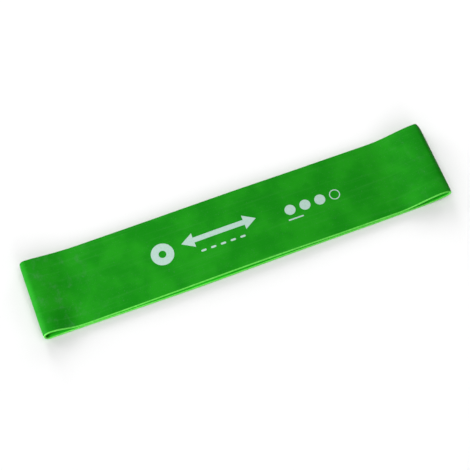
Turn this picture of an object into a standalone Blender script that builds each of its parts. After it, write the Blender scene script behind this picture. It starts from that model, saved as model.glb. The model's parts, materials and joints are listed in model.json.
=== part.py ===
"""A mini loop resistance band: one endless latex strip, folded flat and lying on its lower ply.

Metres, +Z up. The band runs along X, the strip's width along Y, and z = 0 is the surface it lies on.
The strip is divided into named sections at the places where it bends or stretches. Each moving
group of sections hangs under an empty on its joint's axis, so turning or sliding the empties
opens or stretches the loop.
"""

import math

import bmesh
import bpy

# The band
LENGTH = 0.266
WIDTH = 0.050
THICKNESS = 0.0012
PLY_GAP = 0.0007
SKEW = 0.00134  # how far the lower ply lies towards -Y of the upper one

# The two folds, each half a circle at the end of a teardrop-shaped opening
FOLD_RADIUS = 0.0032
LIFT_LEFT = 0.0
LIFT_RIGHT = 0.0013
FOLD_X = LENGTH / 2 - THICKNESS / 2 - FOLD_RADIUS
FLARE_START = 0.096

# Where the strip bends when the loop is opened
HINGE_X = 0.086
BEND_HALF = 0.014
FOLD_LEAD = 0.0075
GAP = 0.0003

# Mid-planes of the two plies where they lie flat
LOWER_Z = THICKNESS / 2
UPPER_Z = 1.5 * THICKNESS + PLY_GAP

# The printed marks
INK = 0.0002
INK_Z = UPPER_Z + THICKNESS / 2 + GAP + INK / 2
PRINT_Y = SKEW / 2  # the middle of the upper ply
DOT_RADIUS = 0.00344
DOT_PITCH = 0.00995
FIRST_DOT_X = 0.0352
DOT_Y = PRINT_Y + 0.0003
DOT_COUNT = 3
RING_WALL = 0.0006
LEVEL_BAR = (0.0368, PRINT_Y - 0.0062, 0.0100, 0.0009)
ARROW = (-0.0112, PRINT_Y + 0.0026)
ARROW_LENGTH = 0.0490
ARROW_SHAFT = 0.0034
ARROW_HEAD = (0.0080, 0.0096)
DASH_LENGTH = 0.0034
DASH_HEIGHT = 0.0013
DASH_PITCH = 0.0064
DASH_COUNT = 5
DASH_Y = PRINT_Y - 0.0060
PLATE = (-0.0487, PRINT_Y + 0.0005)
PLATE_RADIUS = 0.0072
PLATE_HOLE = 0.0024

FLARE_STEPS = 8
FOLD_STEPS = 18
CIRCLE_STEPS = 40

LATEX = (0.016, 0.296, 0.015)
LATEX_ROUGHNESS = 0.42
INK_COLOUR = (0.42, 0.62, 0.50)
INK_ROUGHNESS = 0.55


def clear_scene():
    for obj in list(bpy.data.objects):
        bpy.data.objects.remove(obj, do_unlink=True)


def collection(name):
    found = bpy.data.collections.new(name)
    bpy.context.scene.collection.children.link(found)
    return found


def principled(name, colour, roughness):
    material = bpy.data.materials.new(name)
    material.use_nodes = True
    shader = material.node_tree.nodes["Principled BSDF"]
    shader.inputs["Base Color"].default_value = (*colour, 1.0)
    shader.inputs["Roughness"].default_value = roughness
    shader.inputs["Metallic"].default_value = 0.0
    return material


def pivot(name, location, parent, parts):
    """An empty on a joint's axis, given by its place in the world."""
    empty = bpy.data.objects.new(name, None)
    empty.empty_display_size = 0.01
    empty.parent = parent
    base = place(parent)
    empty.location = [location[i] - base[i] for i in range(3)]
    parts.objects.link(empty)
    return empty


def place(obj):
    """Where an object's origin is in the world: nothing here is turned, so the locations add up."""
    total = [0.0, 0.0, 0.0]
    while obj is not None:
        total = [total[i] + obj.location[i] for i in range(3)]
        obj = obj.parent
    return total


def smooth(u):
    u = min(max(u, 0.0), 1.0)
    return u * u * (3.0 - 2.0 * u)


def lift(side):
    return LIFT_LEFT if side < 0 else LIFT_RIGHT


def fold_centre_z(side):
    return LOWER_Z + lift(side) + FOLD_RADIUS


def flare(x):
    """0 where the plies lie flat, 1 at the crown of a fold."""
    return smooth((x - FLARE_START) / (FOLD_X - FLARE_START))


def lower_point(side, x):
    return (side * x, -SKEW / 2, LOWER_Z + lift(side) * flare(x))


def upper_point(side, x):
    crown = fold_centre_z(side) + FOLD_RADIUS
    return (side * x, SKEW / 2, UPPER_Z + (crown - UPPER_Z) * flare(x))


def ply_points(point, side, start, end):
    """Points along one ply from x = start to x = end, close together only where it curves."""
    count = FLARE_STEPS if end > FLARE_START else 1
    return [point(side, start + (end - start) * i / count) for i in range(count + 1)]


def fold_points(side):
    """Round the end of the band, from the lower ply to the upper one."""
    lead = FOLD_X - FOLD_LEAD
    points = ply_points(lower_point, side, lead, FOLD_X)[:-1]
    for i in range(FOLD_STEPS + 1):
        turn = math.pi * i / FOLD_STEPS
        x = FOLD_X + FOLD_RADIUS * math.sin(turn)
        z = fold_centre_z(side) - FOLD_RADIUS * math.cos(turn)
        points.append((side * x, SKEW * (i / FOLD_STEPS - 0.5), z))
    return points + ply_points(upper_point, side, lead, FOLD_X)[-2::-1]


def strip(name, points, parent, parts):
    """One section of the latex strip: a ribbon along the points, given its thickness by Solidify."""
    base = place(parent)
    work = bmesh.new()
    row = [
        work.verts.new((x - base[0], y - WIDTH / 2 - base[1], z - base[2]))
        for x, y, z in points
    ]
    edges = [work.edges.new(pair) for pair in zip(row, row[1:])]
    grown = bmesh.ops.extrude_edge_only(work, edges=edges)
    moved = [item for item in grown["geom"] if isinstance(item, bmesh.types.BMVert)]
    bmesh.ops.translate(work, verts=moved, vec=(0.0, WIDTH, 0.0))
    mesh = bpy.data.meshes.new(name)
    work.to_mesh(mesh)
    work.free()
    obj = bpy.data.objects.new(name, mesh)
    obj.parent = parent
    parts.objects.link(obj)
    wall = obj.modifiers.new("Thickness", "SOLIDIFY")
    wall.thickness = THICKNESS
    wall.offset = 0.0
    wall.use_even_offset = True
    mesh.materials.append(principled(name + "_latex", LATEX, LATEX_ROUGHNESS))
    return obj


def circle(centre_x, centre_y, radius):
    turns = [2 * math.pi * i / CIRCLE_STEPS for i in range(CIRCLE_STEPS)]
    return [(centre_x + radius * math.cos(a), centre_y + radius * math.sin(a)) for a in turns]


def rounded_bar(centre_x, centre_y, length, height):
    """A bar with half-round ends."""
    radius = height / 2
    reach = length / 2 - radius
    half = CIRCLE_STEPS // 4
    outline = []
    for side, first in ((1, -math.pi / 2), (-1, math.pi / 2)):
        for i in range(half + 1):
            turn = first + math.pi * i / half
            x = centre_x + side * reach + radius * math.cos(turn)
            outline.append((x, centre_y + radius * math.sin(turn)))
    return outline


def printed(name, outlines, parent, parts):
    """A thin film of ink on the upper ply, from flat outlines; an inner outline is a hole."""
    base = place(parent)
    curve = bpy.data.curves.new(name, "CURVE")
    curve.dimensions = "2D"
    curve.fill_mode = "BOTH"
    curve.extrude = INK / 2
    for outline in outlines:
        spline = curve.splines.new("POLY")
        spline.points.add(len(outline) - 1)
        for point, (x, y) in zip(spline.points, outline):
            point.co = (x, y, 0.0, 1.0)
        spline.use_cyclic_u = True
    obj = bpy.data.objects.new(name, curve)
    obj.parent = parent
    obj.location = (-base[0], -base[1], INK_Z - base[2])
    parts.objects.link(obj)
    curve.materials.append(principled(name + "_ink", INK_COLOUR, INK_ROUGHNESS))
    return obj


def side_pivots(side, root, parts):
    """The empties of one end: the lower leg, the upper leg and the middle of the upper ply."""
    word = "left" if side < 0 else "right"
    # The hinge lines lie as far above the plies as the fold's centre lies above the loop's middle,
    # which keeps the two plies parallel and the loop closed at every opening.
    rise = fold_centre_z(side) - (LOWER_Z + UPPER_Z) / 2
    hinge_x = side * HINGE_X
    low = pivot("pivot_lower_leg_" + word, (hinge_x, 0.0, LOWER_Z + rise), root, parts)
    fold = (side * FOLD_X, 0.0, fold_centre_z(side))
    high = pivot("pivot_upper_leg_" + word, fold, low, parts)
    middle = pivot("pivot_upper_ply_" + word, (hinge_x, 0.0, UPPER_Z + rise), high, parts)
    return low, high, middle


def build_side(side, root, parts):
    """The lower ply's half, the two legs, the fold and the upper ply's bend of one end."""
    word = "left" if side < 0 else "right"
    low, high, middle = side_pivots(side, root, parts)
    bend = (HINGE_X - BEND_HALF, HINGE_X + BEND_HALF)
    leg = (bend[1] + GAP, FOLD_X - FOLD_LEAD - GAP)
    half = ply_points(lower_point, side, GAP / 2, bend[0] - GAP)
    strip("lower_ply_" + word, half, root, parts)
    strip("lower_bend_" + word, ply_points(lower_point, side, *bend), root, parts)
    strip("lower_leg_" + word, ply_points(lower_point, side, *leg), low, parts)
    strip("fold_" + word, fold_points(side), low, parts)
    strip("upper_leg_" + word, ply_points(upper_point, side, *leg), high, parts)
    strip("upper_bend_" + word, ply_points(upper_point, side, *bend), middle, parts)
    return middle


def build_upper_ply(side, parent, parts):
    word = "left" if side < 0 else "right"
    end = HINGE_X - BEND_HALF - GAP
    strip("upper_ply_" + word, ply_points(upper_point, side, GAP / 2, end), parent, parts)


def double_arrow(centre_x, centre_y):
    """A level arrow with a head at each end."""
    head_length, head_height = ARROW_HEAD
    tip = ARROW_LENGTH / 2
    neck = tip - head_length
    quarter = [(neck, ARROW_SHAFT / 2), (neck, head_height / 2), (tip, 0.0)]
    below = [(x, -y) for x, y in quarter[:-1]]
    right = below + quarter[::-1]
    outline = right + [(-x, -y) for x, y in right]
    return [(centre_x + x, centre_y + y) for x, y in outline]


def build_maker_marks(parent, parts):
    """Plain shapes where a maker's print would be: a plate, a stretch arrow and a row of dashes."""
    plate = [circle(*PLATE, PLATE_RADIUS), circle(*PLATE, PLATE_HOLE)]
    printed("print_plate", plate, parent, parts)
    printed("print_stretch_arrow", [double_arrow(*ARROW)], parent, parts)
    for i in range(DASH_COUNT):
        x = ARROW[0] + (i - (DASH_COUNT - 1) / 2) * DASH_PITCH
        dash = rounded_bar(x, DASH_Y, DASH_LENGTH, DASH_HEIGHT)
        printed(f"print_dash_{i + 1}", [dash], parent, parts)


def build_level_marks(parent, parts):
    """The resistance level: filled dots, one open ring and a short bar below them."""
    for i in range(DOT_COUNT):
        x = FIRST_DOT_X + i * DOT_PITCH
        printed(f"print_level_dot_{i + 1}", [circle(x, DOT_Y, DOT_RADIUS)], parent, parts)
    x = FIRST_DOT_X + DOT_COUNT * DOT_PITCH
    ring = [circle(x, DOT_Y, DOT_RADIUS), circle(x, DOT_Y, DOT_RADIUS - RING_WALL)]
    printed("print_level_ring", ring, parent, parts)
    printed("print_level_bar", [rounded_bar(*LEVEL_BAR)], parent, parts)


def main():
    clear_scene()
    parts = collection("resistance_band")
    root = pivot("pivot_root", (0.0, 0.0, 0.0), None, parts)
    lower_slide = pivot("pivot_lower_stretch", (0.0, 0.0, LOWER_Z), root, parts)
    upper_left = build_side(-1, root, parts)
    build_side(1, lower_slide, parts)
    upper_slide = pivot("pivot_upper_stretch", (0.0, 0.0, UPPER_Z), upper_left, parts)
    build_upper_ply(-1, upper_left, parts)
    build_upper_ply(1, upper_slide, parts)
    build_maker_marks(upper_left, parts)
    build_level_marks(upper_slide, parts)


main()
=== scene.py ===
"""Looks of a mini loop resistance band: a latex strip that bends and stretches, and its print.

The strip is one closed surface cut into eight slices, and each slice meets the next on the same
row of points.
"""

import json
import math

import bmesh
import bpy
from mathutils import Matrix, Vector


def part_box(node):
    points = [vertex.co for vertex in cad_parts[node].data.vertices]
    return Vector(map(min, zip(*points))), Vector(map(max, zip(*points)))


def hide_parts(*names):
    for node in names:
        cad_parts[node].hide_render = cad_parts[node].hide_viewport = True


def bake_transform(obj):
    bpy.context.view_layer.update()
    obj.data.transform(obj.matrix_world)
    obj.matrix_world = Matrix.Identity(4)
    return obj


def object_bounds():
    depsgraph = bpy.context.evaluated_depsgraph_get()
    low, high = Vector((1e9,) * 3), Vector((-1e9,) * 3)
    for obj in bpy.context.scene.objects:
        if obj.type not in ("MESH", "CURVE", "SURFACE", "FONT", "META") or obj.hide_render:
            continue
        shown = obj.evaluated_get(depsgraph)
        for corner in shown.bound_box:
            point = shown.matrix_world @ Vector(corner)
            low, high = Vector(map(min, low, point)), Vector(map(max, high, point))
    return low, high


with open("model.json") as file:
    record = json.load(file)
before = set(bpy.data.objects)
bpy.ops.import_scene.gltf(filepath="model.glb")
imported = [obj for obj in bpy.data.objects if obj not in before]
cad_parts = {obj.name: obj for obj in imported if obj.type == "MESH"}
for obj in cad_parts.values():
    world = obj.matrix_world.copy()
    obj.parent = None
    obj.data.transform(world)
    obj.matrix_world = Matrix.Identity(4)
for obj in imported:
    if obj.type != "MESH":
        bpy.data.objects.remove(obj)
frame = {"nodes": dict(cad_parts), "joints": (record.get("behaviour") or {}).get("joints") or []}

cad_low, cad_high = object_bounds()
JOINTS = {joint["name"]: joint for joint in frame["joints"]}

# The drawn strip is a little wider than the CAD's, and its upper ply lies a little further back
WIDER = 0.0004
UPPER_SHIFT = 0.0002

# Sizes read from the frame, in metres
LOWER_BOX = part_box("lower_ply_left")
UPPER_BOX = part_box("upper_ply_left")
BEND_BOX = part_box("upper_bend_right")
THICKNESS = LOWER_BOX[1].z - LOWER_BOX[0].z
WIDTH = UPPER_BOX[1].y - UPPER_BOX[0].y + WIDER
LOWER_Z = (LOWER_BOX[0].z + LOWER_BOX[1].z) / 2
UPPER_Z = (UPPER_BOX[0].z + UPPER_BOX[1].z) / 2
LOWER_Y = (LOWER_BOX[0].y + LOWER_BOX[1].y + WIDER) / 2
UPPER_Y = (UPPER_BOX[0].y + UPPER_BOX[1].y - WIDER) / 2 + UPPER_SHIFT
BEND_IN = BEND_BOX[0].x
FOLD_X = JOINTS["fold_right"]["pos_m"][0]
FOLD_REACH = cad_high.x - THICKNESS / 2 - FOLD_X

# Where each stretch of the loop begins, measured along the strip from the middle of the upper ply
ARC = math.pi * FOLD_REACH
RIGHT_END = FOLD_X + ARC
LOWER_MIDDLE = RIGHT_END + FOLD_X
LEFT_FOLD = LOWER_MIDDLE + FOLD_X
LOOP = LEFT_FOLD + ARC + FOLD_X
LOOP_RADIUS = LOOP / (2 * math.pi)

# How each end stands (-1 is the left), as (near edge, far edge). Distances along X are from the
# middle of the band.
#   start, crown, height: where the upper ply starts to rise, where it is highest, and how high
#   delay, fall: how late it rises, and how fast it falls away beyond the crown
#   tip, tip_height: the outermost point of the fold
#   lift: how far the lower ply has lifted where the fold begins
#   pull: how far the fold's corners stand back from its tip
#   back: how far the upper ply shifts towards +Y as it rises
ENDS = {
    -1: {"start": (0.1080, 0.0860), "crown": (0.1276, 0.1315), "height": (0.0063, 0.0064),
         "delay": (1.15, 1.75), "fall": (55.0, 55.0), "tip": (0.1325, 0.1324),
         "tip_height": (0.0037, 0.0036), "lift": (0.0, 0.0), "pull": (0.0003, 0.0003),
         "back": (0.00045, 0.0)},
    1: {"start": (0.0980, 0.0965), "crown": (0.1274, 0.1296), "height": (0.0070, 0.0077),
        "delay": (1.0, 1.1), "fall": (70.0, 60.0), "tip": (0.1325, 0.1321),
        "tip_height": (0.0049, 0.0049), "lift": (0.0024, 0.0020), "pull": (0.0003, 0.0011),
        "back": (0.0, 0.0004)},
}
LOWER_RISE = 0.114              # where the lower ply starts to lift
ROUNDNESS = 0.55                # how full the fold's curve is: 0.55 is close to an ellipse
CORNER_SHARPNESS = 16           # a higher number keeps the fold's corners nearer the cut edges

# Between the ends the upper ply lies lower than the CAD's, with a faint hump at the middle. Its
# ripples fade out from RIPPLE_END to the bends.
REST_Z = UPPER_Z - 0.00052
HUMP, HUMP_LENGTH = 0.0006, 0.050
RIPPLE, RIPPLE_END = 0.00007, 0.060

# The upper ply's near edge reaches SPREAD further, and less at the middle. This fades out from
# SPREAD_END to the folds.
SPREAD, SPREAD_WAIST, SPREAD_WAIST_LENGTH = 0.0005, 0.0003, 0.045
SPREAD_END = 0.100

# The lower ply bows towards -Y left of the middle, and its ends stand a little towards +Y
BOW, BOW_CENTRE, BOW_LENGTH = 0.0006, -0.035, 0.045
LOWER_END_SHIFT, LOWER_END_START, LOWER_END_LENGTH = 0.0003, 0.080, 0.045

# The cross-section: rounded corners, and how far the cut edge's pale colour runs past them
EDGE_RADIUS = 0.00045
EDGE_BLEED = 0.0002
COLUMNS = 26                    # cells across the width
CORNER_STEP = 15                # degrees between the points of a rounded corner
SKIN_POINTS = 4                 # points of the far corner that the outer skin still covers

# How far apart the strip's rows of vertices are, along it
MIDDLE_SPACING, END_SPACING, FOLD_SPACING = 0.002, 0.0015, 0.0004
SHARP_ANGLE = math.radians(50)


def smooth(u):
    u = min(max(u, 0.0), 1.0)
    return u * u * (3.0 - 2.0 * u)


def mix(a, b, t):
    return a + (b - a) * t


def hill(x, centre, length):
    """A smooth hill, 1 high at its centre."""
    return math.exp(-(((x - centre) / length) ** 2))


def trait(side, name, v):
    """A measure of one end; v runs from -1 at the near cut edge to 1 at the far one."""
    return mix(*ENDS[side][name], (v + 1) / 2)


def ripple(x, y):
    """The slight unevenness of rubber that lies loose."""
    first = math.sin(61.0 * x + 38.0 * y + 0.6)
    second = math.sin(113.0 * x - 71.0 * y + 2.1)
    third = math.sin(197.0 * x + 122.0 * y + 4.0)
    return RIPPLE * (first + 0.6 * second + 0.35 * third)


def upper_height(x, v):
    side = -1 if x < 0 else 1
    start, crown = trait(side, "start", v), trait(side, "crown", v)
    u = min(max((abs(x) - start) / (crown - start), 0.0), 1.0)
    calm = 1.0 - smooth((abs(x) - RIPPLE_END) / (BEND_IN - RIPPLE_END))
    base = REST_Z + HUMP * hill(x, 0.0, HUMP_LENGTH) + ripple(x, v * WIDTH / 2) * calm
    height = mix(base, trait(side, "height", v), smooth(u ** trait(side, "delay", v)))
    return height - trait(side, "fall", v) * max(abs(x) - crown, 0.0) ** 2


def lower_height(x, v):
    side = -1 if x < 0 else 1
    rise = max((abs(x) - LOWER_RISE) / (FOLD_X - LOWER_RISE), 0.0) ** 2
    return LOWER_Z + trait(side, "lift", v) * rise


def upper_spread(x):
    """How much further the upper ply's near edge reaches."""
    reach = SPREAD - SPREAD_WAIST * hill(x, 0.0, SPREAD_WAIST_LENGTH)
    return reach * (1.0 - smooth((abs(x) - SPREAD_END) / (FOLD_X - SPREAD_END)))


def set_back(x, v):
    """How far the upper ply shifts towards +Y where it rises to a fold."""
    side = -1 if x < 0 else 1
    start, crown = trait(side, "start", v), trait(side, "crown", v)
    return trait(side, "back", v) * smooth((abs(x) - start) / (crown - start))


def upper_point(x, v):
    spread = upper_spread(x) * (1.0 - v) / 2
    y = UPPER_Y + v * WIDTH / 2 - spread + set_back(x, v)
    return Vector((x, y, upper_height(x, v)))


def upper_v(x, y):
    """The place across the upper ply's flat part of a point at y."""
    spread = upper_spread(x) / 2
    return (y - UPPER_Y + spread) / (WIDTH / 2 + spread)


def lower_shift(x):
    """Where the middle of the lower ply's width lies."""
    bowed = LOWER_Y - BOW * hill(x, BOW_CENTRE, BOW_LENGTH)
    ease = smooth((abs(x) - LOWER_END_START) / LOWER_END_LENGTH)
    return mix(bowed, LOWER_Y + LOWER_END_SHIFT, ease)


def bezier(points, t):
    """A point of the Bezier curve with these control points."""
    while len(points) > 1:
        points = [a.lerp(b, t) for a, b in zip(points, points[1:])]
    return points[0]


def fold_point(side, t, v):
    """The fold beyond FOLD_X: t runs from 0 where it leaves the upper ply to 1 at the lower."""
    step = 0.0004
    top, bottom = upper_height(side * FOLD_X, v), lower_height(side * FOLD_X, v)
    top_slope = (top - upper_height(side * (FOLD_X - step), v)) / step
    bottom_slope = (bottom - lower_height(side * (FOLD_X - step), v)) / step
    pull = trait(side, "pull", v) * abs(v) ** CORNER_SHARPNESS
    tip = Vector((trait(side, "tip", v) - pull, trait(side, "tip_height", v)))
    reach = (tip.x - FOLD_X) * ROUNDNESS
    if t < 0.5:
        first = Vector((FOLD_X, top))
        out = Vector((1.0, top_slope)) * reach
        rise = Vector((0.0, (top - tip.y) * ROUNDNESS))
        place = bezier([first, first + out, tip + rise, tip], 2 * t)
    else:
        last = Vector((FOLD_X, bottom))
        back = Vector((1.0, bottom_slope)) * reach
        drop = Vector((0.0, (tip.y - bottom) * ROUNDNESS))
        place = bezier([tip, tip - drop, last + back, last], 2 * t - 1)
    above = UPPER_Y + set_back(side * FOLD_X, v)
    shift = mix(above, lower_shift(side * FOLD_X), smooth(t))
    return Vector((side * place.x, shift + v * WIDTH / 2, place.y))


def middle(s, v):
    """A point of the strip's middle surface: s along the loop, v across it."""
    s = (s + FOLD_X) % LOOP - FOLD_X
    if s <= FOLD_X:
        return upper_point(s, v)
    if s < RIGHT_END:
        return fold_point(1, (s - FOLD_X) / ARC, v)
    if s <= LEFT_FOLD:
        x = LOWER_MIDDLE - s
        return Vector((x, lower_shift(x) + v * WIDTH / 2, lower_height(x, v)))
    return fold_point(-1, 1.0 - (s - LEFT_FOLD) / ARC, v)


def outward(s, v):
    """The strip's unit normal, pointing out of the loop."""
    step = 2e-5
    low, high = max(v - 1e-3, -1.0), min(v + 1e-3, 1.0)
    along = middle(s + step, v) - middle(s - step, v)
    across = middle(s, high) - middle(s, low)
    return along.cross(across).normalized()


OUTSIDE, CUT_EDGE, INSIDE = range(3)        # a slice's material slots


def section():
    """The strip's cross-section, a slim rectangle with eased corners: pairs of place across the
    width and height, both from -1 to 1, and which material the stretch starting there has."""
    half_width, half_wall = WIDTH / 2, THICKNESS / 2
    flat, upright = half_width - EDGE_RADIUS, half_wall - EDGE_RADIUS
    top = [-flat + EDGE_BLEED] + [mix(-flat, flat, i / COLUMNS) for i in range(1, COLUMNS)]
    corner = [(flat - EDGE_BLEED, half_wall)]
    for degrees in range(0, 90, CORNER_STEP):
        turn = math.radians(degrees)
        corner.append((flat + EDGE_RADIUS * math.sin(turn),
                       upright + EDGE_RADIUS * math.cos(turn)))
    corner += [(half_width, upright), (half_width, 0.0)]
    cut = corner + [(y, -h) for y, h in corner[-2::-1]]
    outline = [(y, half_wall, OUTSIDE) for y in top]
    outline += [(y, h, OUTSIDE) for y, h in cut[:SKIN_POINTS]]
    outline += [(y, h, CUT_EDGE) for y, h in cut[SKIN_POINTS:-1]] + [(*cut[-1], INSIDE)]
    outline += [(-y, -half_wall, INSIDE) for y in top[1:]]
    outline += [(-y, -h, CUT_EDGE) for y, h in cut[:-1]]
    return [(y / half_width, h, kind) for y, h, kind in outline]


SECTION = section()


def loop_attributes(mesh, places):
    """Stores where each vertex lies on the strip, so that colour and grain keep to the rubber."""
    flat = mesh.attributes.new("flat", "FLOAT_VECTOR", "POINT")
    around = mesh.attributes.new("loop", "FLOAT_VECTOR", "POINT")
    for i, (s, y, h) in enumerate(places):
        angle = s / LOOP_RADIUS
        flat.data[i].vector = (s, y, h)
        reach = LOOP_RADIUS + h
        around.data[i].vector = (reach * math.cos(angle), reach * math.sin(angle), y)


def stations(start, end, spacing):
    """Evenly spaced numbers from start to end, no further apart than spacing."""
    count = max(1, math.ceil((end - start) / spacing))
    return [mix(start, end, i / count) for i in range(count + 1)]


def slice_of_strip(name, start, end, spacing, materials, offset=0.0):
    """A closed piece of the strip from s = start to s = end. offset moves its stored s."""
    work = bmesh.new()
    rows, places = [], []
    for s in stations(start, end, spacing):
        row = []
        for v, h, _ in SECTION:
            point = middle(s, v) + outward(s, v) * h
            row.append(work.verts.new(point))
            places.append((s + offset, v * WIDTH / 2, h))
        rows.append(row)
    count = len(SECTION)
    for near, far in zip(rows, rows[1:]):
        for i in range(count):
            j = (i + 1) % count
            face = work.faces.new((near[i], far[i], far[j], near[j]))
            face.material_index = SECTION[i][2]
            face.smooth = True
    for row in (rows[0], rows[-1][::-1]):
        cap = work.faces.new(row)
        cap.material_index = CUT_EDGE
    work.normal_update()
    mesh = bpy.data.meshes.new(name)
    work.to_mesh(mesh)
    work.free()
    loop_attributes(mesh, places)
    mesh.set_sharp_from_angle(angle=SHARP_ANGLE)
    for material in materials:
        mesh.materials.append(material)
    obj = bpy.data.objects.new(name, mesh)
    bpy.context.scene.collection.objects.link(obj)
    return obj


# Materials

# Noise scales per metre, and as (along, across, through) the strip where they differ
CLOUDS, SPECKS, GRAIN, DENTS = 48.0, 1400.0, 1900.0, 260.0
STREAKS = (16.0, 560.0, 1.0)
# The pale smudges at the folds are partly talc and partly painted sheen; this sets their noise
# scale.
TALC_SHEEN_SCALE = (150.0, 100.0, 1.0)
KNIFE_MARKS = (700.0, 1.0, 900.0)
THIN_INK = 900.0


def new_material(name):
    material = bpy.data.materials.new(name)
    material.use_nodes = True
    tree = material.node_tree
    return material, tree, tree.nodes["Principled BSDF"]


def linear(red, green, blue):
    """Scene-linear colour from the 0 to 255 numbers of a colour picker."""
    def one(value):
        c = value / 255.0
        return c / 12.92 if c <= 0.04045 else ((c + 0.055) / 1.055) ** 2.4
    return (one(red), one(green), one(blue), 1.0)


def attribute(tree, name):
    node = tree.nodes.new("ShaderNodeAttribute")
    node.attribute_name = name
    return node.outputs["Vector"]


def noise(tree, vector, scale, detail=3.0, roughness=0.55):
    node = tree.nodes.new("ShaderNodeTexNoise")
    node.inputs["Scale"].default_value = scale
    node.inputs["Detail"].default_value = detail
    node.inputs["Roughness"].default_value = roughness
    tree.links.new(vector, node.inputs["Vector"])
    return node.outputs["Fac"]


def scaled(tree, vector, scale):
    node = tree.nodes.new("ShaderNodeVectorMath")
    node.operation = "MULTIPLY"
    node.inputs[1].default_value = scale
    tree.links.new(vector, node.inputs[0])
    return node.outputs["Vector"]


def span(tree, value, low, high, to_low, to_high):
    """value from low..high mapped to to_low..to_high, clamped."""
    node = tree.nodes.new("ShaderNodeMapRange")
    node.interpolation_type = "SMOOTHSTEP"
    for name, number in zip(("From Min", "From Max", "To Min", "To Max"),
                            (low, high, to_low, to_high)):
        node.inputs[name].default_value = number
    tree.links.new(value, node.inputs["Value"])
    return node.outputs["Result"]


def maths(tree, operation, a, b):
    node = tree.nodes.new("ShaderNodeMath")
    node.operation = operation
    for socket, value in zip(node.inputs, (a, b)):
        if isinstance(value, (int, float)):
            socket.default_value = value
        else:
            tree.links.new(value, socket)
    return node.outputs["Value"]


def blend_colours(tree, amount, a, b):
    node = tree.nodes.new("ShaderNodeMix")
    node.data_type = "RGBA"
    if isinstance(amount, (int, float)):
        node.inputs["Factor"].default_value = amount
    else:
        tree.links.new(amount, node.inputs["Factor"])
    for name, value in (("A", a), ("B", b)):
        socket = [i for i in node.inputs if i.name == name and i.type == "RGBA"][0]
        if isinstance(value, tuple):
            socket.default_value = value
        else:
            tree.links.new(value, socket)
    return [o for o in node.outputs if o.type == "RGBA"][0]


def bump(tree, shader, height, strength, distance):
    node = tree.nodes.new("ShaderNodeBump")
    node.inputs["Strength"].default_value = strength
    node.inputs["Distance"].default_value = distance
    tree.links.new(height, node.inputs["Height"])
    tree.links.new(node.outputs["Normal"], shader.inputs["Normal"])


def fold_talc_sheen_weight(tree, flat):
    """How close a point is to a fold, from 0 to 1 at the left fold and 0.35 at the right. It
    weights the talc and the painted sheen, which is strongest at the left fold, where the key
    light falls.
    """
    parts = tree.nodes.new("ShaderNodeSeparateXYZ")
    tree.links.new(flat, parts.inputs["Vector"])
    turn = maths(tree, "MULTIPLY", parts.outputs["X"], 2 * math.pi / LOOP)
    side = maths(tree, "SINE", turn, 0.0)     # -1 at the left fold's tip, 1 at the right one's
    left = span(tree, side, -0.82, -0.97, 0.0, 1.0)
    right = span(tree, side, 0.85, 0.97, 0.0, 0.35)
    return maths(tree, "ADD", left, right)


def latex_material(name, deep, pale, dust_sheen_colour):
    """Satin dyed latex: faint clouds, lengthwise streaks from dipping, and pale smudges where the
    strip is folded, which are partly talc and partly painted sheen, strongest at the left fold
    where the key light falls."""
    material, tree, shader = new_material(name)
    place = attribute(tree, "loop")
    flat = attribute(tree, "flat")
    folds = fold_talc_sheen_weight(tree, flat)
    clouds = span(tree, noise(tree, place, CLOUDS, 4.0), 0.36, 0.66, 0.0, 1.0)
    colour = blend_colours(tree, clouds, deep, pale)
    streaks = noise(tree, scaled(tree, flat, STREAKS), 1.0, 4.0, 0.6)
    streaks = span(tree, streaks, 0.50, 0.80, 0.0, 0.30)
    colour = blend_colours(tree, streaks, colour, linear(58, 158, 58))
    # Pale smudges at the folds: partly talc, partly painted sheen where the key light falls.
    talc_and_sheen = noise(tree, scaled(tree, flat, TALC_SHEEN_SCALE), 1.0, 5.0, 0.72)
    talc_and_sheen = span(tree, talc_and_sheen, 0.50, 0.74, 0.0, 1.0)
    talc_and_sheen = maths(tree, "MULTIPLY", talc_and_sheen, maths(tree, "MULTIPLY", folds, 0.75))
    speck = span(tree, noise(tree, place, SPECKS, 2.0, 0.5), 0.62, 0.74, 0.0, 0.25)
    # Dust specks and the painted sheen at the folds are mixed towards one pale colour.
    dust_and_sheen_amount = maths(tree, "ADD", maths(tree, "MULTIPLY", talc_and_sheen, 0.38), speck)
    colour = blend_colours(tree, dust_and_sheen_amount, colour, dust_sheen_colour)
    tree.links.new(colour, shader.inputs["Base Color"])
    rough = maths(tree, "ADD", maths(tree, "MULTIPLY", clouds, 0.07),
                  maths(tree, "MULTIPLY", talc_and_sheen, 0.22))
    tree.links.new(maths(tree, "ADD", rough, 0.38), shader.inputs["Roughness"])
    shader.inputs["Specular IOR Level"].default_value = 0.17
    grain = noise(tree, place, GRAIN, 3.0, 0.6)
    dents = noise(tree, place, DENTS, 2.0, 0.5)
    relief = maths(tree, "ADD", maths(tree, "MULTIPLY", dents, 2.0), grain)
    bump(tree, shader, relief, 0.14, 0.00012)
    return material


def cut_edge_material():
    """The cut edges, where light comes out of the rubber: paler, with fine knife marks."""
    material, tree, shader = new_material("latex_cut_edge")
    flat = attribute(tree, "flat")
    marks = noise(tree, scaled(tree, flat, KNIFE_MARKS), 1.0, 3.0, 0.6)
    colour = blend_colours(tree, span(tree, marks, 0.3, 0.7, 0.0, 1.0),
                           linear(84, 206, 62), linear(110, 222, 86))
    tree.links.new(colour, shader.inputs["Base Color"])
    shader.inputs["Roughness"].default_value = 0.5
    shader.inputs["Specular IOR Level"].default_value = 0.3
    bump(tree, shader, marks, 0.15, 0.00008)
    return material


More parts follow.
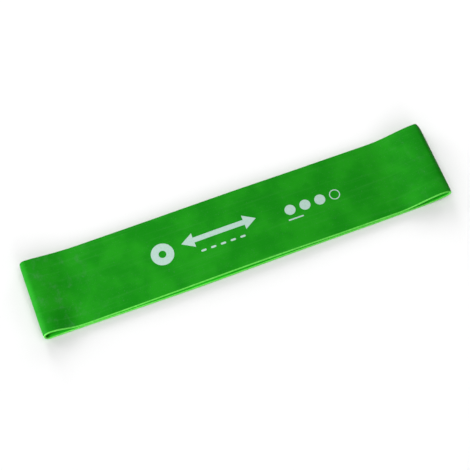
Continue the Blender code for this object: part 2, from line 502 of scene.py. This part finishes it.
def ink_material():
    """Matt pale ink with pinholes and thin spots."""
    material, tree, shader = new_material("ink")
    place = attribute(tree, "loop")
    thin = noise(tree, place, THIN_INK, 3.0, 0.6)
    colour = blend_colours(tree, span(tree, thin, 0.40, 0.75, 0.0, 0.45),
                           linear(184, 212, 202), linear(150, 196, 168))
    tree.links.new(colour, shader.inputs["Base Color"])
    shader.inputs["Roughness"].default_value = 0.55
    shader.inputs["Specular IOR Level"].default_value = 0.3
    bump(tree, shader, thin, 0.10, 0.00005)
    return material


# Print: thin films laid on the upper ply

FILM = 0.00004
FILM_LIFT = 0.00002             # clear of the latex, so that the two surfaces don't meet
FILM_CELL = 0.0015
ARROW_HEAD, ARROW_SHAFT = 0.0080, 0.0034
PLATE_HOLE_RADIUS = 0.0024
RING_LINE = 0.0006


def circle(radius, steps=72):
    turns = [2 * math.pi * i / steps for i in range(steps)]
    return [(radius * math.cos(a), radius * math.sin(a)) for a in turns]


def rounded_bar(length, height, steps=14):
    radius = height / 2
    reach = length / 2 - radius
    outline = []
    for side, first in ((1, -math.pi / 2), (-1, math.pi / 2)):
        for i in range(steps + 1):
            turn = first + math.pi * i / steps
            outline.append((side * reach + radius * math.cos(turn), radius * math.sin(turn)))
    return outline


def double_arrow(length, height):
    tip, neck = length / 2, length / 2 - ARROW_HEAD
    below = [(neck, -ARROW_SHAFT / 2), (neck, -height / 2)]
    right = below + [(tip, 0.0)] + [(x, -y) for x, y in below[::-1]]
    return right + [(-x, -y) for x, y in right]


def film(node, outlines, material):
    """An ink film where the CAD's node is, cut in cells so that it follows the rubber."""
    low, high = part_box(node)
    centre_x, centre_y = (low.x + high.x) / 2, (low.y + high.y) / 2
    work = bmesh.new()
    edges = []
    for outline in outlines:
        ring = [work.verts.new((centre_x + x, centre_y + y, 0.0)) for x, y in outline]
        edges += [work.edges.new(pair) for pair in zip(ring, ring[1:] + ring[:1])]
    bmesh.ops.triangle_fill(work, edges=edges, use_beauty=True)
    for axis, first, last in (((1, 0, 0), low.x, high.x), ((0, 1, 0), low.y, high.y)):
        for place in stations(first, last, FILM_CELL)[1:-1]:
            geometry = work.verts[:] + work.edges[:] + work.faces[:]
            point = Vector(axis) * place
            bmesh.ops.bisect_plane(work, geom=geometry, plane_co=point, plane_no=axis,
                                   dist=1e-7)
    bmesh.ops.recalc_face_normals(work, faces=work.faces[:])
    if sum(face.normal.z for face in work.faces) < 0:
        bmesh.ops.reverse_faces(work, faces=work.faces[:])
    base = work.faces[:]
    grown = bmesh.ops.extrude_face_region(work, geom=base, use_keep_orig=True)
    top = {item for item in grown["geom"] if isinstance(item, bmesh.types.BMVert)}
    places = []
    for vert in work.verts:
        x, y = vert.co.x, vert.co.y
        lift = FILM_LIFT + (FILM if vert in top else 0.0)
        v = upper_v(x, y)
        vert.co = middle(x, v) + outward(x, v) * (THICKNESS / 2 + lift)
        places.append((x, v * WIDTH / 2, lift))
    bmesh.ops.reverse_faces(work, faces=[f for f in base if f.is_valid])
    bmesh.ops.recalc_face_normals(work, faces=work.faces[:])
    mesh = bpy.data.meshes.new(node + "_film")
    work.to_mesh(mesh)
    work.free()
    loop_attributes(mesh, places)
    mesh.materials.append(material)
    obj = bpy.data.objects.new(node + "_film", mesh)
    bpy.context.scene.collection.objects.link(obj)
    return obj


def stretch_with_upper_ply(obj):
    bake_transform(obj)


def build_print():
    ink = ink_material()
    shapes = {}
    for node in sorted(frame["nodes"]):
        if not node.startswith("print_"):
            continue
        low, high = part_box(node)
        length, height = high.x - low.x, high.y - low.y
        if node == "print_plate":
            shapes[node] = [circle(length / 2), circle(PLATE_HOLE_RADIUS)]
        elif node == "print_level_ring":
            shapes[node] = [circle(length / 2), circle(length / 2 - RING_LINE)]
        elif node == "print_stretch_arrow":
            shapes[node] = [double_arrow(length, height)]
        elif node.startswith("print_level_dot"):
            shapes[node] = [circle(length / 2)]
        else:
            shapes[node] = [rounded_bar(length, height)]
    for node, outlines in shapes.items():
        piece = film(node, outlines, ink)
        stretch_with_upper_ply(piece)
        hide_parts(node)


# The strip

def build_strip():
    # The last colour of each latex is for talc and dust specks, and for the painted sheen at the
    # folds.
    outer = latex_material("latex_outside", linear(6, 136, 4), linear(22, 151, 12),
                           linear(92, 140, 104))
    # The inside of the loop is the same latex in a lighter green: painted light, for the light
    # that comes through the rubber and bounces within the loop.
    painted_lighter_inside = latex_material("latex_inside", linear(15, 174, 11), linear(32, 194, 23),
                           linear(96, 170, 104))
    materials = [outer, cut_edge_material(), painted_lighter_inside]
    upper = slice_of_strip("latex_upper_middle", -BEND_IN, BEND_IN, MIDDLE_SPACING, materials)
    stretch_with_upper_ply(upper)
    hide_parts("upper_ply_left", "upper_ply_right")

    lower = slice_of_strip("latex_lower_middle", LOWER_MIDDLE - BEND_IN,
                           LOWER_MIDDLE + BEND_IN, MIDDLE_SPACING, materials)
    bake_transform(lower)
    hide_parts("lower_ply_left", "lower_ply_right")

    build_end(1, materials)
    build_end(-1, materials)


def build_end(side, materials):
    """One end of the loop: the fold, and the bend and leg of each ply.

    Each slice is (start, end) along the strip. At the left end its stored place is a whole loop
    less, so that the streaks run on along the upper ply. They break on the hidden lower ply.
    """
    word = "left" if side < 0 else "right"
    if side > 0:
        upper = (BEND_IN, FOLD_X)
        fold = (FOLD_X, RIGHT_END)
        lower = (RIGHT_END, LOWER_MIDDLE - BEND_IN)
        offset = 0.0
    else:
        upper = (LOOP - FOLD_X, LOOP - BEND_IN)
        fold = (LEFT_FOLD, LEFT_FOLD + ARC)
        lower = (LOWER_MIDDLE + BEND_IN, LEFT_FOLD)
        offset = -LOOP

    piece = slice_of_strip("latex_upper_end_" + word, *upper, END_SPACING, materials, offset)
    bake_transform(piece)
    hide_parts("upper_bend_" + word, "upper_leg_" + word)

    piece = slice_of_strip("latex_lower_end_" + word, *lower, END_SPACING, materials, offset)
    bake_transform(piece)
    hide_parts("lower_bend_" + word, "lower_leg_" + word)

    piece = slice_of_strip("latex_fold_" + word, *fold, FOLD_SPACING, materials, offset)
    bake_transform(piece)
    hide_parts("fold_" + word)


# Camera, light and floor

LENS = 103.2
CAMERA_AZIMUTH = math.radians(19.18)
CAMERA_ELEVATION = math.radians(66.51)
CAMERA_ROLL = math.radians(-1.68)
CAMERA_DISTANCE = 0.8328
CAMERA_TARGET = Vector((-0.00228, -0.00150, 0.0))


def build_camera():
    data = bpy.data.cameras.new("camera")
    data.sensor_width = 36.0
    data.lens = LENS
    data.dof.use_dof = False
    data.clip_start = 0.01
    data.clip_end = 50.0
    camera = bpy.data.objects.new("camera", data)
    bpy.context.scene.collection.objects.link(camera)
    flat = math.cos(CAMERA_ELEVATION)
    forward = Vector((math.sin(CAMERA_AZIMUTH) * flat, math.cos(CAMERA_AZIMUTH) * flat,
                      -math.sin(CAMERA_ELEVATION)))
    right = Vector((math.cos(CAMERA_AZIMUTH), -math.sin(CAMERA_AZIMUTH), 0.0))
    up = right.cross(forward)
    turned_right = right * math.cos(CAMERA_ROLL) + up * math.sin(CAMERA_ROLL)
    turned_up = up * math.cos(CAMERA_ROLL) - right * math.sin(CAMERA_ROLL)
    axes = Matrix((turned_right, turned_up, -forward)).transposed()
    place = CAMERA_TARGET - forward * CAMERA_DISTANCE
    camera.matrix_world = Matrix.Translation(place) @ axes.to_4x4()
    bpy.context.scene.camera = camera


# The studio's brightest direction, and its strength away from there and towards it
WORLD_SIDE = (-0.95, -0.10, 0.30)
WORLD_DIM, WORLD_BRIGHT = 0.10, 0.72

FLOOR_COLOUR, FLOOR_SIZE = 0.86, 12.0
FLOOR_GAP = 0.00005             # keeps the floor clear of the strip's underside

# The object's key light: direction from the object, distance, size (m) and power (W)
KEY_LIGHT = ((-0.86, -0.22, 0.62), 1.10, 0.70, 12.6)

# The floor has lights of its own, so that it stays nearly white while the strip keeps a soft wide
# shadow. A low ring of them is strong in front of and behind the strip, most of all behind, and
# fades to nothing at its two ends. A few high ones fill in: compass direction clockwise from +Y,
# elevation, power (W).
RING_COMPASS, RING_ELEVATION = (0, 45, 135, 180, 225, 315), 14
RING_POWER, RING_MORE_BEHIND = 44.0, 12.0
HIGH_LIGHTS = ((0, 32, 9.0), (160, 32, 9.0), (90, 55, 11.0), (270, 55, 6.0))
FLOOR_LIGHT_DISTANCE, FLOOR_LIGHT_SIZE = 3.0, 1.3


def build_floor():
    bpy.ops.mesh.primitive_plane_add(size=FLOOR_SIZE, location=(0.0, 0.0, -FLOOR_GAP))
    floor = bpy.context.object
    floor.name = "floor"
    material, tree, shader = new_material("floor")
    shader.inputs["Base Color"].default_value = (FLOOR_COLOUR, FLOOR_COLOUR, FLOOR_COLOUR, 1.0)
    shader.inputs["Roughness"].default_value = 0.9
    shader.inputs["Specular IOR Level"].default_value = 0.1
    floor.data.materials.append(material)
    return floor


def build_world():
    """A grey studio that is brighter on the left, towards WORLD_SIDE."""
    world = bpy.data.worlds.new("studio")
    bpy.context.scene.world = world
    world.use_nodes = True
    tree = world.node_tree
    background = tree.nodes["Background"]
    background.inputs["Color"].default_value = (1.0, 1.0, 1.0, 1.0)
    toward = tree.nodes.new("ShaderNodeVectorMath")
    toward.operation = "DOT_PRODUCT"
    toward.inputs[1].default_value = Vector(WORLD_SIDE).normalized()
    tree.links.new(tree.nodes.new("ShaderNodeTexCoord").outputs["Generated"], toward.inputs[0])
    tree.links.new(span(tree, toward.outputs["Value"], -0.9, 0.9, WORLD_DIM, WORLD_BRIGHT),
                   background.inputs["Strength"])


def soft_box(name, direction, distance, size, power, receivers):
    data = bpy.data.lights.new(name, "AREA")
    data.shape = "DISK"
    data.size = size
    data.energy = power
    light = bpy.data.objects.new(name, data)
    bpy.context.scene.collection.objects.link(light)
    away = Vector(direction).normalized()
    light.location = away * distance
    light.rotation_mode = "QUATERNION"
    light.rotation_quaternion = (-away).to_track_quat("-Z", "Y")
    light.light_linking.receiver_collection = receivers
    light.visible_camera = False


def floor_lights():
    """Compass direction, elevation and power of each floor light."""
    for compass in RING_COMPASS:
        along = math.cos(math.radians(compass))
        yield compass, RING_ELEVATION, RING_POWER * along ** 2 + RING_MORE_BEHIND * along
    yield from HIGH_LIGHTS


def build_lights(floor):
    receivers = {}
    for kind, state in (("floor", "INCLUDE"), ("object", "EXCLUDE")):
        receivers[kind] = bpy.data.collections.new("light_for_" + kind)
        receivers[kind].objects.link(floor)
        receivers[kind].collection_objects[0].light_linking.link_state = state
    soft_box("key_light", *KEY_LIGHT, receivers["object"])
    for compass, elevation, power in floor_lights():
        turn, tilt = math.radians(compass), math.radians(elevation)
        direction = (math.sin(turn) * math.cos(tilt), math.cos(turn) * math.cos(tilt),
                     math.sin(tilt))
        soft_box("floor_light_%d_%d" % (compass, elevation), direction, FLOOR_LIGHT_DISTANCE,
                 FLOOR_LIGHT_SIZE, power, receivers["floor"])


build_camera()
build_world()
build_lights(build_floor())
build_strip()
build_print()
bpy.context.scene.view_settings.view_transform = "Standard"
